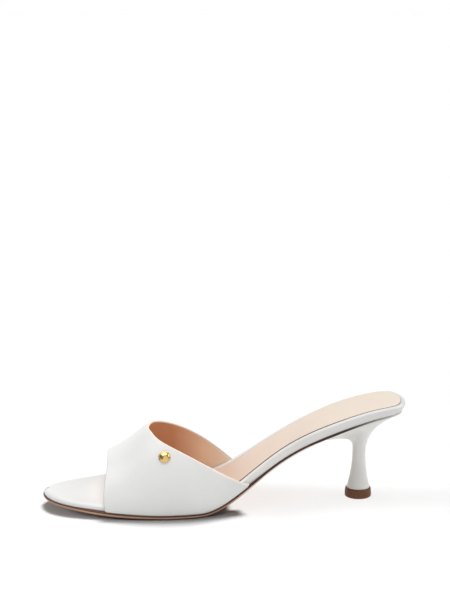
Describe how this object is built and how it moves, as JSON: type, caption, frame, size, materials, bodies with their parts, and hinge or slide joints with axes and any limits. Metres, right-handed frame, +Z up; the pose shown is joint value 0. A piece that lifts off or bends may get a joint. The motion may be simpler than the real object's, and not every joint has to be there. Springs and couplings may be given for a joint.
{
  "type": "heeled mule sandal",
  "caption": "Open-toe backless leather mule: a smooth one-piece band over the forefoot, a slim flared kitten heel and a covered insole board.",
  "frame": {"origin": "on the floor below the middle of the shoe's box", "axes": "+X from the toe to the back of the heel, +Y towards the outer side of the foot, +Z up"},
  "size_m": [0.2328, 0.0842, 0.0658],
  "materials": {
    "white_leather": "smooth semi-gloss white calf, tan leather lining",
    "board_white_leather": "smooth white leather covering",
    "nude_leather": "matt pale nude sock leather",
    "sole_leather": "polished sole leather with a dark inked edge",
    "heel_white_leather": "smooth white leather wrapped on the heel",
    "brown_rubber": "satin brown hard rubber",
    "gold_metal": "polished"
  },
  "bodies": {
    "root": {"vamp": "white_leather", "insole_board": "board_white_leather", "sock": "nude_leather", "outsole": "sole_leather", "heel": "heel_white_leather", "top_piece": "brown_rubber", "stud": "gold_metal"}
  },
  "joints": []
}
